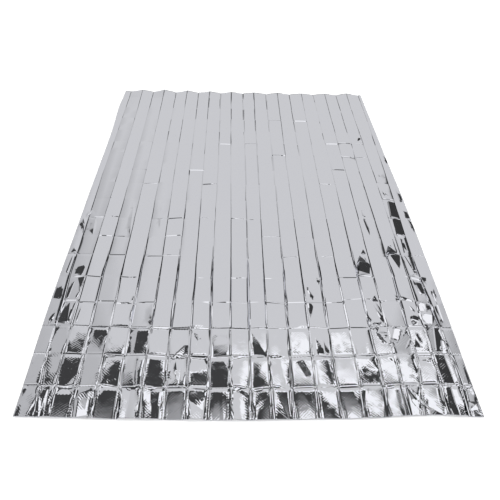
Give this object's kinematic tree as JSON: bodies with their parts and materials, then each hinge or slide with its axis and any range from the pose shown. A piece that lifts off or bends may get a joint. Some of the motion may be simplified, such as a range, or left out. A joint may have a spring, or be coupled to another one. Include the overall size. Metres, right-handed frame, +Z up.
{
  "type": "emergency foil blanket",
  "caption": "Emergency foil blanket of aluminised film, opened out flat with its fold grid and crumples standing, to wrap a person and keep body heat in.",
  "frame": {"origin": "middle of the sheet's footprint, on the surface that it lies on", "axes": "+Y along the sheet's length, from its near cut edge to its far one; +X across its width; +Z up, out of the surface"},
  "size_m": [1.315, 2.116, 0.0161],
  "materials": {
    "aluminised_film": "mirror-bright vacuum-metallised polyester film with fine wrinkles"
  },
  "bodies": {
    "root": {"film_sheet": "aluminised_film"}
  },
  "joints": []
}
